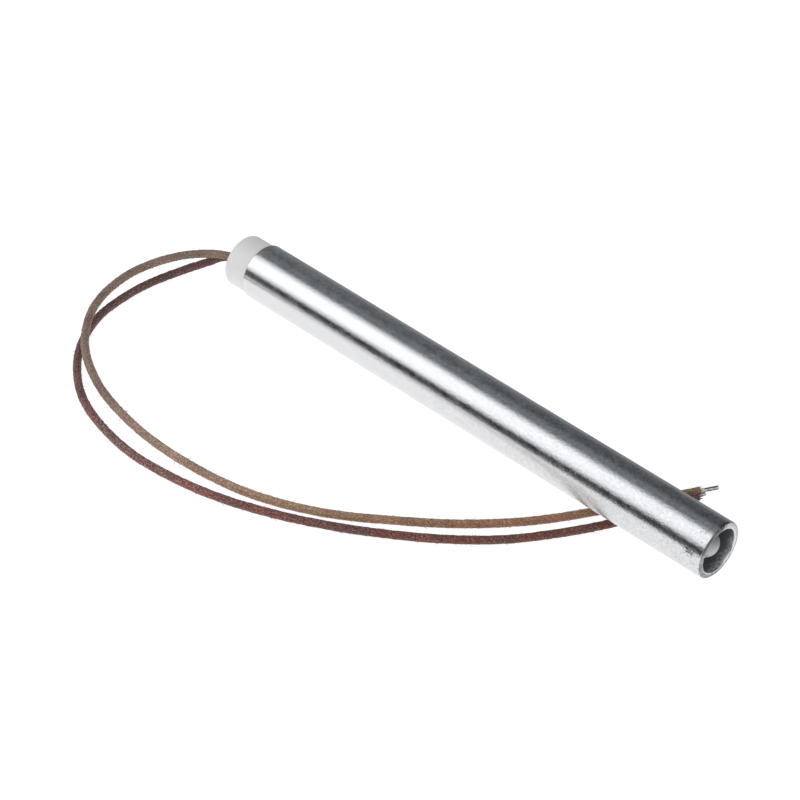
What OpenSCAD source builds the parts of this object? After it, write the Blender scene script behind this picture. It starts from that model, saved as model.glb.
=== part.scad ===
// Cartridge heater: a steel sheath round a wound ceramic core, a ceramic lead cap and two fibre-covered leads.
// The origin is on the sheath's axis, at its lead end. +X runs to the open end and +Z is up.
// The leads lie on the table and pass under the sheath, which is propped up by them near its open end.

/* [Sheath] */
// Outside diameter of the sheath
sheath_d = 16; // [15.4:0.1:20]
// Length of the sheath
sheath_len = 160; // [140:1:200]
// Wall of the sheath
sheath_wall = 1.8; // [1.6:0.1:2.4]
// Rounding of the mouth's outer edge
mouth_round = 0.8; // [0.2:0.1:0.9]
// Rounding of the mouth's inner edge
mouth_bore_round = 0.35; // [0.1:0.05:0.6]
// Chamfer on the outer edge at the lead end
lead_end_chamfer = 0.2; // [0.1:0.05:0.4]

/* [Lead cap] */
// How far the cap's side lies inside the sheath's side
cap_step = 0.55; // [0.2:0.05:1.2]
// How far the cap stands out of the sheath
cap_len = 7.9; // [5:0.1:12]
// Rounding of the cap's outer edge
cap_round = 1; // [0.5:0.1:2.4]
// Length of the spigot inside the sheath
spigot_len = 8; // [5:0.5:12]

/* [Open end] */
// Depth from the mouth to the face of the end disc
recess_depth = 7; // [5:0.5:10]
// Thickness of the end disc
end_disc_t = 2.5; // [1.5:0.1:4]
// Diameter of the nose that stands in the recess
nose_d = 7.7; // [6:0.1:9]
// How far the tip of the nose lies inside the mouth
nose_setback = 0.8; // [0:0.1:1]
// Thickness of the nose's flange behind the disc
nose_flange_t = 3; // [2:0.1:5]

/* [Winding] */
// Diameter of a winding core
core_d = 7.6; // [7:0.1:8.2]
// Chamfer on the ends of a core
core_chamfer = 0.3; // [0.1:0.1:0.5]
// Diameter of the resistance wire
wire_d = 0.6; // [0.4:0.05:0.8]
// Whole turns of the winding, before the last half turn
wire_turns = 32; // [20:1:40]

/* [Terminals] */
// Distance between the two terminal pins
pin_spacing = 4; // [3.8:0.1:4.4]
// Turn of the pair of pins about the axis
pin_turn = 150; // [0:5:180]
// Diameter of a terminal pin
pin_d = 1.6; // [1.2:0.1:1.8]
// How far the short pin reaches into the first core
short_pin_grip = 12; // [6:1:18]
// Outside diameter of a crimp sleeve
crimp_d = 2.8; // [2.5:0.1:3.1]
// Length of a crimp sleeve
crimp_len = 10; // [8:0.5:14]
// Cement before and after a crimp sleeve
cement_cover = 1; // [0.5:0.1:3]
// Thickness of the spacer at the lead end of the cores
lead_spacer_t = 3; // [2:0.1:5]
// Thickness of the spacer at the nose end of the cores
end_spacer_t = 2.5; // [2:0.1:5]

/* [Leads] */
// Diameter of a covered lead
lead_d = 2.3; // [2:0.1:2.5]
// Diameter of a lead's bare conductor
conductor_d = 1.1; // [0.8:0.05:1.2]
// Bared length at the free end of the tan lead
tan_bared_len = 5; // [3:0.5:8]
// Bared length at the free end of the maroon lead
maroon_bared_len = 2; // [1:0.5:8]
// How far the covering stops short of the spigot's inner end
lead_setback = 1; // [0.5:0.1:2]

/* [Clearances] */
// Between the sheath's bore and what fits in it
bore_clear = 0.05; // [0.02:0.01:0.1]
// Between a pin, wire or lead and its hole
hole_clear = 0.1; // [0.05:0.01:0.12]
// Between the winding and what lies inside and outside it
winding_clear = 0.15; // [0.12:0.01:0.2]
// Between the sheath and the leads that pass under it
under_gap = 0.7; // [0.6:0.1:1]

/* [Hidden] */

$fn = 96;
core_count = 5;          // one node for each winding core
over = 1;                // how far a cutter runs past what it cuts
cord_sides = 8;
cord_steps = 2;          // rings for each span between two route points
wire_sides = 5;
wire_steps = 14;         // rings for each turn of the winding
weld_gap = 0.05;         // between the wire's end and its pin

// Radii
sheath_r = sheath_d / 2;
bore_r = sheath_r - sheath_wall;
plug_r = bore_r - bore_clear;
cap_r = sheath_r - cap_step;
pin_r = pin_d / 2;
lead_r = lead_d / 2;
conductor_r = conductor_d / 2;
wire_r = wire_d / 2;
winding_r = core_d / 2 + winding_clear + wire_r;
pin_offset = pin_spacing / 2;

// Stations along the axis, from the lead end to the mouth
cement_x = spigot_len;
cement_len = crimp_len + 2 * cement_cover;
lead_spacer_x = cement_x + cement_len;
core_x = lead_spacer_x + lead_spacer_t;
end_disc_x = sheath_len - recess_depth - end_disc_t;
nose_flange_x = end_disc_x - nose_flange_t;
end_spacer_x = nose_flange_x - end_spacer_t;
core_len = (end_spacer_x - core_x) / core_count;
crimp_x = cement_x + cement_cover;
crimp_stop_x = crimp_x + crimp_len / 2;
lead_inner_x = spigot_len - lead_setback;

// The wire leaves each end of the winding through a notch in the core's end face
notch_depth = wire_d + 2 * winding_clear;
notch_w = wire_d + 4 * winding_clear;
wire_start_x = core_x + notch_depth / 2;
wire_end_x = end_spacer_x - notch_depth / 2;
wire_pin_r = pin_offset + pin_r + weld_gap;

// The table slopes away from the sheath, so that the leads fit under it where they cross
lead_cross_x = 124;
table_slope = (lead_d + under_gap) / lead_cross_x;

// Route of each lead from the cap to its bared end, as X, Y and the height of the lead above the table
TAN_ROUTE = [
    [-12.9, -3.2, 7.2], [-17.3, -5.9, 6.6], [-21.8, -10.6, 6], [-25.8, -17.2, 5], [-27.8, -25.5, 4.3],
    [-26.9, -35.3, 3.7], [-22.9, -44.2, 3.1], [-15.1, -52.6, 2], [-3.9, -58.5, 1], [8, -61.5, 0.2],
    [22.5, -63, 0], [38, -62.3, 0], [52, -59.8, 0], [64, -55.5, 0], [76, -49, 0],
    [87.5, -40.5, 0], [99, -31, 0], [109, -20.7, 0], [116.5, -11, 0], [123.5, 0, 0],
    [130, 11, 0], [136.7, 22.5, 0]
];
MAROON_ROUTE = [
    [-14.5, -1.1, 4.2], [-18.2, -4.5, 2.1], [-22, -10.8, 0.6], [-24.9, -20.1, 0], [-25.5, -30, 0],
    [-24.1, -40.5, 0], [-18.3, -51.9, 0], [-8.5, -61.3, 0], [3, -67, 0], [19, -70, 0],
    [33, -69.3, 0], [48, -66.2, 0], [62, -61, 0], [76.4, -53.7, 0], [90, -45, 0],
    [102, -35.8, 0], [112, -26.2, 0], [120, -15.6, 0], [126.8, -4.7, 0], [131.2, 4.3, 0],
    [135.3, 12.3, 0.5], [138.3, 19.7, 1.2]
];

function unit(v) = v / norm(v);
function table_z(x) = -sheath_r - table_slope * x;
function on_table(p) = [p.x, p.y, table_z(p.x) + lead_r + p.z];
function polar(x, r, a) = [x, r * cos(a), r * sin(a)];

// The two pins, crimps and lead holes sit at these angles about the axis
function pin_angle(side) = pin_turn + (side > 0 ? 0 : 180);
function pin_point(x, side) = polar(x, pin_offset, pin_angle(side));

// A point of the curve through four route points, at share t of the middle span
function curve_point(a, b, c, d, t) =
    (2 * b + (c - a) * t + (2 * a - 5 * b + 4 * c - d) * t * t + (3 * b - a - 3 * c + d) * t * t * t) / 2;

// A smooth path through the points, which starts along X
function smooth_path(pts) =
    let (
        last = len(pts) - 1,
        before = [2 * pts[0].x - pts[1].x, pts[0].y, pts[0].z],
        full = concat([before], pts, [2 * pts[last] - pts[last - 1]])
    )
    concat(
        [for (i = [1 : last], k = [0 : cord_steps - 1])
            curve_point(full[i - 1], full[i], full[i + 1], full[i + 2], k / cord_steps)],
        [pts[last]]
    );

// The whole path of a lead: straight in the cap, then along its route
function lead_path(route, side) =
    concat(
        [pin_point(lead_inner_x, side)],
        smooth_path(concat([pin_point(-cap_len, side)], [for (p = route) on_table(p)]))
    );

function path_end(path) = path[len(path) - 1];
function path_end_direction(path) = unit(path_end(path) - path[len(path) - 2]);

// Tangents of a path, taken straight along the first and last spans
function tangent(path, i) =
    let (last = len(path) - 1)
    unit(path[min(i + 1, last)] - path[max(i - 1, 0)]);

// A ring of points square to the path, set out from a reference direction that the path never follows
function ring(p, t, ref, r, sides) =
    let (across = unit(cross(ref, t)), up = cross(t, across))
    [for (k = [0 : sides - 1]) p + r * (across * cos(360 * k / sides) + up * sin(360 * k / sides))];

// A closed tube swept along a path
module sweep(path, r, ref, sides) {
    last = len(path) - 1;
    points = [for (i = [0 : last]) each ring(path[i], tangent(path, i), ref, r, sides)];
    walls = [
        for (i = [0 : last - 1], k = [0 : sides - 1])
            let (a = i * sides + k, b = i * sides + (k + 1) % sides)
            each [[a, a + sides, b], [b, a + sides, b + sides]]
    ];
    first_cap = [for (k = [0 : sides - 1]) k];
    last_cap = [for (k = [sides - 1 : -1 : 0]) last * sides + k];
    polyhedron(points, concat([first_cap], walls, [last_cap]));
}

// A cylinder along X
module bar(x, len, r) {
    translate([x, 0, 0]) rotate([0, 90, 0]) cylinder(r = r, h = len);
}

// A turned shape from a profile of [x, radius]
module turned() {
    rotate([0, 90, 0]) rotate([0, 0, 90]) rotate_extrude() rotate(90) mirror([0, 1]) children();
}

// Places something on the line of one of the two pins
module at_pin(side) {
    translate(pin_point(0, side)) children();
}

module both_pins() {
    for (side = [1, -1]) at_pin(side) children();
}

// A disc or rod across the bore, with two holes on the lines of the pins
module two_hole_plug(x, len, r, hole_r) {
    difference() {
        bar(x, len, r);
        both_pins() bar(x - over, len + 2 * over, hole_r);
    }
}

// Cuts the corner of a profile to an arc of radius r about the origin
module corner_cut(r) {
    difference() {
        square(2 * r);
        circle(r);
    }
}

module sheath() {
    color("silver") turned() difference() {
        polygon([
            [0, bore_r], [0, sheath_r - lead_end_chamfer], [lead_end_chamfer, sheath_r],
            [sheath_len, sheath_r], [sheath_len, bore_r]
        ]);
        translate([sheath_len - mouth_round, sheath_r - mouth_round]) corner_cut(mouth_round);
        translate([sheath_len - mouth_bore_round, bore_r + mouth_bore_round])
            mirror([0, 1]) corner_cut(mouth_bore_round);
    }
}

module lead_cap() {
    color("white") difference() {
        union() {
            turned() difference() {
                translate([-cap_len, 0]) square([cap_len, cap_r]);
                translate([-cap_len + cap_round, cap_r - cap_round]) mirror([1, 0]) corner_cut(cap_round);
            }
            bar(-over, spigot_len + over, plug_r);
        }
        both_pins() bar(-cap_len - over, cap_len + spigot_len + 2 * over, lead_r + hole_clear);
    }
}

module cement_plug() {
    color("gainsboro") two_hole_plug(cement_x, cement_len, plug_r, crimp_d / 2 + hole_clear);
}

module lead_spacer() {
    color("beige") two_hole_plug(lead_spacer_x, lead_spacer_t, plug_r, pin_r + hole_clear);
}

// One winding core. The end cores have a notch that lets the wire in to its pin.
module core(i) {
    x = core_x + i * core_len;
    r = core_d / 2;
    color("ivory") difference() {
        turned() polygon([
            [x, 0], [x, r - core_chamfer], [x + core_chamfer, r],
            [x + core_len - core_chamfer, r], [x + core_len, r - core_chamfer], [x + core_len, 0]
        ]);
        both_pins() bar(x - over, core_len + 2 * over, pin_r + hole_clear);
        if (i == 0) wire_notch(x - over, over + notch_depth, 1);
        if (i == core_count - 1) wire_notch(x + core_len - notch_depth, notch_depth + over, -1);
    }
}

// A slot from a pin hole out through the core's side
module wire_notch(x, len, side) {
    rotate([pin_angle(side), 0, 0]) translate([x, pin_offset, -notch_w / 2]) cube([len, core_d, notch_w]);
}

module heating_coil() {
    turn_total = 360 * (wire_turns + 0.5);
    rings = wire_turns * wire_steps + wire_steps / 2;
    start_angle = pin_angle(1);
    winding = [
        for (k = [0 : rings])
            polar(
                wire_start_x + (wire_end_x - wire_start_x) * k / rings,
                winding_r,
                start_angle + turn_total * k / rings
            )
    ];
    start = polar(wire_start_x, wire_pin_r, start_angle);
    end = polar(wire_end_x, wire_pin_r, start_angle + turn_total);
    color("dimgray") sweep(concat([start], winding, [end]), wire_r, [1, 0, 0], wire_sides);
}

module oxide_fill() {
    color("whitesmoke") difference() {
        bar(core_x, end_spacer_x - core_x, plug_r);
        bar(core_x - over, end_spacer_x - core_x + 2 * over, winding_r + wire_r + winding_clear);
    }
}

module terminal_pin_1() {
    color("lightsteelblue") at_pin(1) bar(crimp_stop_x, core_x + short_pin_grip - crimp_stop_x, pin_r);
}

module terminal_pin_2() {
    color("lightsteelblue") at_pin(-1) bar(crimp_stop_x, end_spacer_x - crimp_stop_x, pin_r);
}

// A sleeve bored for the conductor on one side of its stop and for the pin on the other, with two pressed dents
module crimp(side) {
    dent_r = crimp_d;
    dent_depth = 0.2;
    color("goldenrod") at_pin(side) difference() {
        bar(crimp_x, crimp_len, crimp_d / 2);
        bar(crimp_x - over, crimp_len / 2 + over, conductor_r + hole_clear);
        bar(crimp_stop_x, crimp_len / 2 + over, pin_r + hole_clear);
        for (x = [crimp_x + crimp_len / 4, crimp_x + crimp_len * 3 / 4])
            translate([x, 0, crimp_d / 2 + dent_r - dent_depth])
                rotate([90, 0, 0]) cylinder(r = dent_r, h = 2 * crimp_d, center = true);
    }
}

module end_spacer() {
    color("beige") bar(end_spacer_x, end_spacer_t, plug_r);
}

// The flange is held behind the end disc, and the round nose stands through it into the recess
module nose_plug() {
    tip_x = sheath_len - nose_setback;
    dome_x = tip_x - nose_d / 2;
    color("lightgray") union() {
        bar(nose_flange_x, nose_flange_t, plug_r);
        turned() union() {
            translate([nose_flange_x, 0]) square([dome_x - nose_flange_x, nose_d / 2]);
            intersection() {
                translate([dome_x, 0]) circle(nose_d / 2);
                translate([dome_x - over, 0]) square([nose_d, nose_d / 2]);
            }
        }
    }
}

module end_disc() {
    color("darkslategray") difference() {
        bar(end_disc_x, end_disc_t, plug_r);
        bar(end_disc_x - over, end_disc_t + 2 * over, nose_d / 2 + hole_clear);
    }
}

module lead(route, side) {
    sweep(lead_path(route, side), lead_r, [0, 0, 1], cord_sides);
}

// The bare wire of a lead: the end in its crimp sleeve and the bared free end
module conductor(route, side, bared_len) {
    path = lead_path(route, side);
    heading = path_end_direction(path);
    at_pin(side) bar(lead_inner_x, crimp_stop_x - lead_inner_x, conductor_r);
    translate(path_end(path)) rotate([0, acos(heading.z), atan2(heading.y, heading.x)])
        cylinder(r = conductor_r, h = bared_len);
}

module tan_lead() {
    color("tan") lead(TAN_ROUTE, 1);
}

module maroon_lead() {
    color("maroon") lead(MAROON_ROUTE, -1);
}

module tan_conductor() {
    color("silver") conductor(TAN_ROUTE, 1, tan_bared_len);
}

module maroon_conductor() {
    color("silver") conductor(MAROON_ROUTE, -1, maroon_bared_len);
}

sheath();
lead_cap();
cement_plug();
lead_spacer();
for (i = [0 : core_count - 1])
    core(i);
heating_coil();
oxide_fill();
terminal_pin_1();
terminal_pin_2();
crimp(1);  // crimp_1
crimp(-1);  // crimp_2
end_spacer();
nose_plug();
end_disc();
tan_lead();
maroon_lead();
tan_conductor();
maroon_conductor();
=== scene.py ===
"""Cartridge heater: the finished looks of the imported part, laid out as an add-on and run as a script."""

import math
import random

import bmesh
import bpy
import numpy as np
from mathutils import Matrix, Vector, noise


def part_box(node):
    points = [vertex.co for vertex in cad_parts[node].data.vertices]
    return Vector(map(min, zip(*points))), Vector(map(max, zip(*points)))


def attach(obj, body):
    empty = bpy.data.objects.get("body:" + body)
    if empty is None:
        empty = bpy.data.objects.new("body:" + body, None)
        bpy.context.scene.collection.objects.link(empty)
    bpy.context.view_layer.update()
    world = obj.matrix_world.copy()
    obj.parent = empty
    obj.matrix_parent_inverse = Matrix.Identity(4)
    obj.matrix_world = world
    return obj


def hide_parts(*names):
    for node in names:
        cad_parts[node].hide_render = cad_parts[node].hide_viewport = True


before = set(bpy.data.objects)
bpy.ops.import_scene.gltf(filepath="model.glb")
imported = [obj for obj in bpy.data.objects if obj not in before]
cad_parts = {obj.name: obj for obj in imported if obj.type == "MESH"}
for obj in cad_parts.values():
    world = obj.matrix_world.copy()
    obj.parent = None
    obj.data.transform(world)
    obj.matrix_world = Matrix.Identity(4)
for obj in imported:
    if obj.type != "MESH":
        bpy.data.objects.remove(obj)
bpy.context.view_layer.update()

bl_info = {
    "name": "Cartridge heater",
    "version": (1, 0, 0),
    "blender": (4, 5, 0),
    "location": "3D View > Sidebar > Heater",
    "description": "Builds a steel cartridge heater with two braided leads around its CAD frame",
    "category": "Object",
}

MM = 0.001
BODY = "root"

# How close points are, in metres, to be merged, to be joined along a tube's seam, or to count as on a ring
MERGE, SEAM, NEAR = 1e-7, 1e-8, 1e-6

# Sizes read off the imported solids, in metres
SHEATH_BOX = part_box("sheath")
CAP_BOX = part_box("lead_cap")
NOSE_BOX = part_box("nose_plug")
DISC_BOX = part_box("end_disc")
SHEATH_LEN = SHEATH_BOX[1].x
SHEATH_R = SHEATH_BOX[1].z
CAP_FACE_X, CAP_INNER_X = CAP_BOX[0].x, CAP_BOX[1].x
PLUG_R = DISC_BOX[1].z

# Sizes that the boxes don't give: the bore and the nose, and where a lead's covering and its wire start
BORE_R = PLUG_R + 0.05 * MM
NOSE_R = 3.85 * MM
COVER_START_X = CAP_INNER_X - 1 * MM
WIRE_START_X = 14 * MM

# Room between a rounding and the ring that is cut beside it
ROUND_MARGIN = 0.15 * MM

# The table that the leads lie on falls away towards +X, so that they fit under the sheath
TABLE_SLOPE = 3.0 / 124

# Middle of a rubbed spot on the front of the sheath
SCUFF_PLACE = Vector((156.3, -7.5, 2.6)) * MM

# The two pins, and the leads in line with them, sit on this circle about the axis
PIN_OFFSET = 2 * MM
PIN_TURN = math.radians(150)

# The stage, in metres
TABLE_SIZE = 6
TENT_R, TENT_END = 1.5, 4

# Route of each lead from the cap to its bared end, in mm: X, Y and height above the table
TAN_ROUTE = [
    (-12.9, -3.2, 7.2), (-17.3, -5.9, 6.6), (-21.8, -10.6, 6), (-25.8, -17.2, 5), (-27.8, -25.5, 4.3),
    (-26.9, -35.3, 3.7), (-22.9, -44.2, 3.1), (-15.1, -52.6, 2), (-3.9, -58.5, 1), (8, -61.5, 0.2),
    (22.5, -63, 0), (38, -62.3, 0), (52, -59.8, 0), (64, -55.5, 0), (76, -49, 0),
    (87.5, -40.5, 0), (99, -31, 0), (109, -20.7, 0), (116.5, -11, 0), (123.5, 0, 0),
    (130, 11, 0), (136.7, 22.5, 0),
]
MAROON_ROUTE = [
    (-14.5, -1.1, 4.2), (-18.2, -4.5, 2.1), (-22, -10.8, 0.6), (-24.9, -20.1, 0), (-25.5, -30, 0),
    (-24.1, -40.5, 0), (-18.3, -51.9, 0), (-8.5, -61.3, 0), (3, -67, 0), (19, -70, 0),
    (33, -69.3, 0), (48, -66.2, 0), (62, -61, 0), (76.4, -53.7, 0), (90, -45, 0),
    (102, -35.8, 0), (112, -26.2, 0), (120, -15.6, 0), (126.8, -4.7, 0), (131.2, 4.3, 0),
    (135.3, 12.3, 0.5), (138.3, 19.7, 1.2),
]

# The varnish along a lead, with painted light, by the share of its length from its inner end: greyer at the
# cap, paler at the bend as painted light, browner further on and soiled at the bared end. The gain lets a
# tint lighten the yarn.
VARNISH_AND_LIGHT_LEN = 275 * MM
VARNISH_AND_LIGHT_GAIN = 1.33
VARNISH_AND_LIGHT = (
    (0.0, "#C5C8CD"), (0.31, "#C5C8CD"), (0.44, "#F8FBFF"), (0.53, "#F6F5F5"),
    (0.65, "#E2D8D5"), (0.8, "#DBC9BD"), (0.92, "#D6C5BA"), (0.955, "#C2BDB8"),
)
# Past the bend each yarn has aged in its own way: the tan one is yellower, the maroon one darker
AGED_FROM, AGED_TO = 0.5, 0.56
TAN_AGED, MAROON_AGED = "#ECEBE0", "#D3CDCF"


def linear(hex_colour):
    """An sRGB hex colour as linear red, green, blue and alpha."""
    parts = [int(hex_colour[i:i + 2], 16) / 255 for i in (1, 3, 5)]
    return (*[p / 12.92 if p <= 0.04045 else ((p + 0.055) / 1.055) ** 2.4 for p in parts], 1.0)


def add(tree, kind, inputs=None, **settings):
    """Adds a node, sets its properties, and sets or links each input named or numbered in inputs."""
    made = tree.nodes.new(kind)
    for name, value in settings.items():
        setattr(made, name, value)
    for key, value in (inputs or {}).items():
        if isinstance(value, bpy.types.NodeSocket):
            tree.links.new(value, made.inputs[key])
        else:
            made.inputs[key].default_value = value
    return made


def new_material(name):
    """An empty node material, its tree and its output node."""
    made = bpy.data.materials.new(name)
    made.use_nodes = True
    made.node_tree.nodes.clear()
    return made, made.node_tree, add(made.node_tree, "ShaderNodeOutputMaterial")


def darker(colour, share):
    """A colour at that share of its brightness."""
    return [c * share for c in colour[:3]] + [1.0]


def seen_share(tree):
    """1 where the camera, a reflection or clear glass looks at a surface, 0 where it only lights others."""
    path = add(tree, "ShaderNodeLightPath").outputs
    straight = add(
        tree, "ShaderNodeMath", {0: path["Is Camera Ray"], 1: path["Is Glossy Ray"]}, operation="MAXIMUM"
    ).outputs[0]
    return add(
        tree, "ShaderNodeMath", {0: straight, 1: path["Is Transmission Ray"]}, operation="MAXIMUM"
    ).outputs[0]


def set_stops(ramp, stops):
    """Gives a ramp its stops, each a position and a colour."""
    band = ramp.color_ramp.elements
    while len(band) < len(stops):
        band.new(0.5)
    for element, (position, colour) in zip(band, stops):
        element.position = position
        element.color = colour


def settings_of(context):
    """The sizes and colours on the scene."""
    return context.scene.heater_sizes, context.scene.heater_colours


# Shapes

def finish_mesh(bm, name, materials, sharp=math.radians(32)):
    """Makes an object of a bmesh, smooth except along edges that turn by more than sharp."""
    for face in bm.faces:
        face.smooth = True
    for edge in bm.edges:
        edge.smooth = len(edge.link_faces) == 2 and edge.calc_face_angle() < sharp
    mesh = bpy.data.meshes.new(name)
    bm.to_mesh(mesh)
    bm.free()
    for material in materials:
        mesh.materials.append(material)
    made = bpy.data.objects.new(name, mesh)
    bpy.context.scene.collection.objects.link(made)
    return made


def turn_profile(corners, steps, closed=False):
    """A bmesh of a profile of (x, radius) turned round the X axis."""
    bm = bmesh.new()
    verts = [bm.verts.new((x, 0, r)) for x, r in corners]
    ends = verts[1:] + verts[:1] if closed else verts[1:]
    edges = [bm.edges.new(pair) for pair in zip(verts, ends)]
    bmesh.ops.spin(
        bm, geom=verts + edges, cent=(0, 0, 0), axis=(1, 0, 0), angle=2 * math.pi, steps=steps,
        use_merge=True,
    )
    bmesh.ops.remove_doubles(bm, verts=bm.verts, dist=MERGE)
    bmesh.ops.recalc_face_normals(bm, faces=bm.faces)
    return bm


def round_ring(bm, x, radius, size, segments):
    """Rounds the ring of edges that lies at that x and radius."""
    ring = [
        edge for edge in bm.edges
        if all(abs(v.co.x - x) < NEAR and abs(math.hypot(v.co.y, v.co.z) - radius) < NEAR
               for v in edge.verts)
    ]
    if not ring:
        raise RuntimeError("no ring of edges to round at x %g, radius %g" % (x, radius))
    bmesh.ops.bevel(
        bm, geom=ring, offset=size, offset_type="OFFSET", affect="EDGES", segments=segments,
        profile=0.5, material=-1,
    )


def cut_rings(bm, places):
    """Cuts a turned shape across at each x, so that roundings at its ends don't bend the shading along it."""
    for x in places:
        bmesh.ops.bisect_plane(
            bm, geom=[*bm.verts, *bm.edges, *bm.faces], dist=MERGE, plane_co=(x, 0, 0), plane_no=(1, 0, 0)
        )


def smooth_line(points, spacing):
    """Points spaced evenly along a smooth curve through points, which starts along X."""
    pts = [Vector(p) for p in points]
    before = Vector((2 * pts[0].x - pts[1].x, pts[0].y, pts[0].z))
    pts = [before, *pts, 2 * pts[-1] - pts[-2]]
    fine, cuts = [], 48
    for a, b, c, d in zip(pts, pts[1:], pts[2:], pts[3:]):
        for k in range(cuts):
            t = k / cuts
            fine.append(
                (2 * b + (c - a) * t + (2 * a - 5 * b + 4 * c - d) * t * t
                 + (3 * b - a - 3 * c + d) * t ** 3) / 2
            )
    return even_line([*fine, pts[-2]], spacing)


def even_line(points, spacing):
    """The same line with its points an even distance apart."""
    pts = np.array([tuple(p) for p in points])
    run = np.concatenate([[0], np.cumsum(np.linalg.norm(np.diff(pts, axis=0), axis=1))])
    count = max(2, round(run[-1] / spacing) + 1)
    at = np.linspace(0, run[-1], count)
    return np.stack([np.interp(at, run, pts[:, k]) for k in range(3)], axis=1)


def line_length(points):
    """Length of a line of points."""
    return float(np.linalg.norm(np.diff(points, axis=0), axis=1).sum())


def carried_frames(points):
    """Two directions square to the line at each point, carried along it without twist."""
    tangents = np.gradient(points, axis=0)
    tangents /= np.linalg.norm(tangents, axis=1)[:, None]
    up, nearly_upright = np.array([0.0, 0.0, 1.0]), 0.9
    if abs(tangents[0] @ up) > nearly_upright:
        up = np.array([0.0, 1.0, 0.0])
    across = []
    last = up - (up @ tangents[0]) * tangents[0]
    for tangent in tangents:
        last = last - (last @ tangent) * tangent
        last = last / np.linalg.norm(last)
        across.append(last)
    across = np.array(across)
    return across, np.cross(tangents, across)


def sweep_tube(bm, points, radius, sides):
    """Adds a closed tube along points. radius(ring, side) gives the radius, weave and yarn there."""
    rings = len(points)
    across, up = carried_frames(points)
    step = line_length(points) / (rings - 1)
    uv = bm.loops.layers.uv.get("UVMap") or bm.loops.layers.uv.new("UVMap")
    weave = bm.verts.layers.float.get("weave") or bm.verts.layers.float.new("weave")
    yarn = bm.verts.layers.float.get("yarn") or bm.verts.layers.float.new("yarn")
    made = bmesh.ops.create_grid(bm, x_segments=rings - 1, y_segments=sides, size=1)["verts"]
    cell = {v: (round((v.co.x + 1) / 2 * (rings - 1)), round((v.co.y + 1) / 2 * sides)) for v in made}
    faces = {face for v in made for face in v.link_faces}
    for face in faces:
        for loop in face.loops:
            i, k = cell[loop.vert]
            loop[uv].uv = (i * step / MM, k / sides)
    for v in made:
        i, k = cell[v]
        angle = 2 * math.pi * (k % sides) / sides
        r, v[weave], v[yarn] = radius(i, k % sides)
        v.co = points[i] + r * (math.cos(angle) * across[i] + math.sin(angle) * up[i])
    bmesh.ops.remove_doubles(bm, verts=made, dist=SEAM)
    rims = {edge for face in faces if face.is_valid for edge in face.edges if edge.is_boundary}
    bmesh.ops.holes_fill(bm, edges=list(rims), sides=0)


def on_table(point):
    """A route point in mm as a place in metres, with the lead's height counted from the table."""
    x, y, lift = (p * MM for p in point)
    lead_r = bpy.context.scene.heater_sizes.lead_d / 2
    return Vector((x, y, -SHEATH_R - TABLE_SLOPE * x + lead_r + lift))


def pin_point(x, side):
    """The point at x on the line of the tan lead's pin, or with side -1 of the maroon lead's."""
    turn = PIN_TURN if side > 0 else PIN_TURN + math.pi
    return Vector((x, PIN_OFFSET * math.cos(turn), PIN_OFFSET * math.sin(turn)))


def lead_line(route, side, spacing):
    """The middle line of a lead, from its end in the cap to the end of its covering."""
    leaving = pin_point(CAP_FACE_X, side)
    free = smooth_line([leaving, *[on_table(p) for p in route]], spacing)
    inside = even_line([pin_point(COVER_START_X, side), leaving], spacing)
    return np.concatenate([inside[:-1], free])


def lead_heading(route):
    """The direction in which a lead's bared wire leaves its covering."""
    a, b = on_table(route[-2]), on_table(route[-1])
    return (b - a).normalized()


# Materials

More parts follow.
